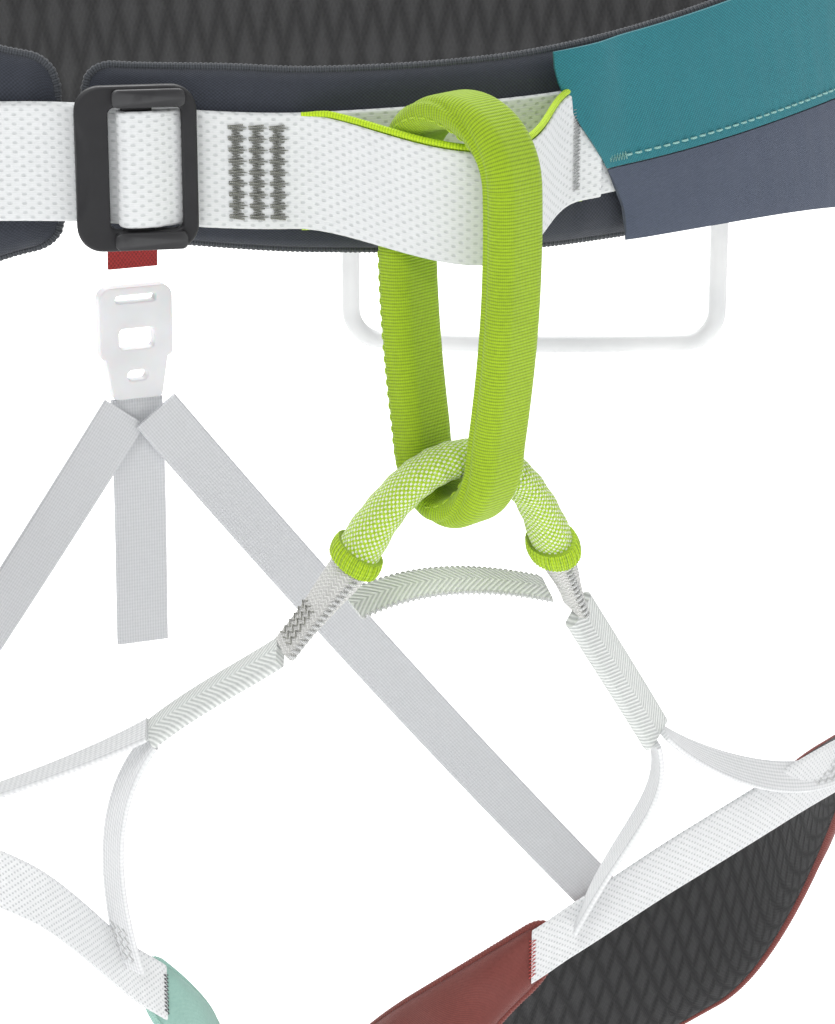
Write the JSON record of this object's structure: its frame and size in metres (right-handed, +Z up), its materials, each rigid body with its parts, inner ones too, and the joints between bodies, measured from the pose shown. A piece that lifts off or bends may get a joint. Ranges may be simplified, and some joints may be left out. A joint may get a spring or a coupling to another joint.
{
  "type": "climbing harness",
  "caption": "Padded climbing harness: waist belt with a slide buckle, tie-in loops, belay loop, leg loops on elastic bands, rear risers and gear loops.",
  "frame": {"origin": "centre of the waist ring, level with the middle of the waist webbing", "axes": "+Z up along the wearer's body; -Y towards the belay loop at the front; +X towards the wearer's left"},
  "size_m": [0.402, 0.2713, 0.4694],
  "materials": {
    "foam": "matte foam",
    "mesh": "diamond-pattern mesh",
    "navy_fabric": "fine plain weave",
    "binding": "overlocked edge",
    "teal_fabric": "plain weave",
    "slate_fabric": "plain weave",
    "white_webbing": "woven webbing",
    "pale_webbing": "woven webbing",
    "lime_fabric": "ribbed sheath",
    "lime_lining": "smooth lining",
    "knit_sleeve": "two-colour knit",
    "core_webbing": "woven webbing",
    "thread": "stitching",
    "anodised": "black anodised, satin",
    "white_tube": "satin tube",
    "white_plastic": "moulded, translucent",
    "grey_cord": "braided cord",
    "red_webbing": "woven webbing",
    "mint_fabric": "fine plain weave",
    "red_fabric": "fine plain weave",
    "elastic": "woven elastic"
  },
  "bodies": {
    "waist_belt": {"belt_foam": "foam", "belt_mesh_lining": "mesh", "belt_outer_fabric": "navy_fabric", "belt_edge_binding": "binding", "upper_panel_right": "teal_fabric", "lower_panel_right": "slate_fabric", "upper_panel_left": "teal_fabric", "lower_panel_left": "slate_fabric", "waist_webbing_right": "white_webbing", "waist_webbing_left": "white_webbing", "waist_webbing_tail": "white_webbing", "webbing_keeper": "binding", "tie_in_webbing": "white_webbing", "tie_in_lining": "lime_lining", "waist_bartacks": "thread", "buckle_frame": "anodised", "gear_loop_tabs": "navy_fabric", "haul_loop_tabs": "navy_fabric", "riser_tab": "red_webbing", "riser_strap_left": "pale_webbing", "riser_strap_right": "pale_webbing"},
    "buckle_slider": {"buckle_slider": "anodised"},
    "haul_loop": {"haul_loop": "grey_cord"},
    "rear_riser": {"riser_buckle": "white_plastic", "riser_tail": "pale_webbing"},
    "leg_bridge": {"tie_in_sleeve": "knit_sleeve", "sleeve_hems": "lime_lining", "lower_tie_in_webbing": "white_webbing", "bridge_strap": "pale_webbing", "strap_junction_left": "white_webbing", "strap_junction_right": "white_webbing"},
    "belay_loop": {"belay_loop_core": "core_webbing", "belay_loop_sheath": "lime_fabric", "belay_loop_seam": "lime_fabric"},
    "left_leg_loop": {"v_strap_left": "white_webbing", "v_strand_inner_left": "white_webbing", "v_strand_outer_left": "white_webbing", "leg_band_left": "elastic", "leg_foam_left": "foam", "leg_mesh_left": "mesh", "leg_fabric_left": "mint_fabric", "leg_binding_left": "binding", "leg_riser_tab_left": "red_webbing"},
    "right_leg_loop": {"v_strap_right": "white_webbing", "v_strand_inner_right": "white_webbing", "v_strand_outer_right": "white_webbing", "leg_band_right": "elastic", "leg_foam_right": "foam", "leg_mesh_right": "mesh", "leg_fabric_right": "red_fabric", "leg_binding_right": "binding", "leg_riser_tab_right": "red_webbing"},
    "gear_loop_front_right": {"gear_loop_front_right": "white_tube"},
    "gear_loop_rear_right": {"gear_loop_rear_right": "white_tube"},
    "gear_loop_rear_left": {"gear_loop_rear_left": "white_tube"},
    "gear_loop_front_left": {"gear_loop_front_left": "white_tube"}
  },
  "joints": [
    {"name": "buckle_slide", "type": "slide", "parent": "waist_belt", "child": "buckle_slider", "axis": [0.9741, -0.226, 0], "range_m": [0, 0.003]},
    {"name": "gear_loop_front_right_swing", "type": "hinge", "parent": "waist_belt", "child": "gear_loop_front_right", "pos_m": [0.15761, -0.05973, -0.05393], "axis": [-0.5348, -0.845, 0], "range_deg": [-5, 85]},
    {"name": "gear_loop_rear_right_swing", "type": "hinge", "parent": "waist_belt", "child": "gear_loop_rear_right", "pos_m": [0.16969, 0.04923, -0.055], "axis": [0.9179, -0.3968, 0], "range_deg": [-5, 85]},
    {"name": "gear_loop_rear_left_swing", "type": "hinge", "parent": "waist_belt", "child": "gear_loop_rear_left", "pos_m": [-0.07639, 0.09419, -0.055], "axis": [0.8845, 0.4665, 0], "range_deg": [-5, 85]},
    {"name": "gear_loop_front_left_swing", "type": "hinge", "parent": "waist_belt", "child": "gear_loop_front_left", "pos_m": [-0.19095, -0.01142, -0.05342], "axis": [-0.5783, 0.8158, 0], "range_deg": [-5, 85]},
    {"name": "haul_loop_swing", "type": "hinge", "parent": "waist_belt", "child": "haul_loop", "pos_m": [0, 0.1119, -0.002], "axis": [1, 0, 0], "range_deg": [0, 110]},
    {"name": "rear_riser_swing", "type": "hinge", "parent": "waist_belt", "child": "rear_riser", "pos_m": [-0.015, 0.1074, -0.076], "axis": [1, 0, 0], "range_deg": [-6, 20]},
    {"name": "bridge_swing", "type": "hinge", "parent": "waist_belt", "child": "leg_bridge", "pos_m": [0, -0.1334, 0.012], "axis": [1, 0, 0], "range_deg": [-2, 2], "stiffness_Nm_per_rad": 6, "springref_deg": 2.86},
    {"name": "belay_loop_swivel", "type": "hinge", "parent": "leg_bridge", "child": "belay_loop", "pos_m": [0, -0.1334, 0], "axis": [0, 0, 1], "range_deg": [-18, 0]},
    {"name": "left_leg_swing", "type": "hinge", "parent": "leg_bridge", "child": "left_leg_loop", "pos_m": [-0.045, -0.1214, -0.1248], "axis": [1, 0, 0], "range_deg": [-6, 11], "stiffness_Nm_per_rad": 1.5, "springref_deg": 3.44, "deforming": ["riser_strap_left"]},
    {"name": "right_leg_swing", "type": "hinge", "parent": "leg_bridge", "child": "right_leg_loop", "pos_m": [0.0395, -0.1224, -0.1238], "axis": [1, 0, 0], "range_deg": [-6, 11], "stiffness_Nm_per_rad": 1.5, "springref_deg": 3.44, "deforming": ["riser_strap_right"]}
  ]
}
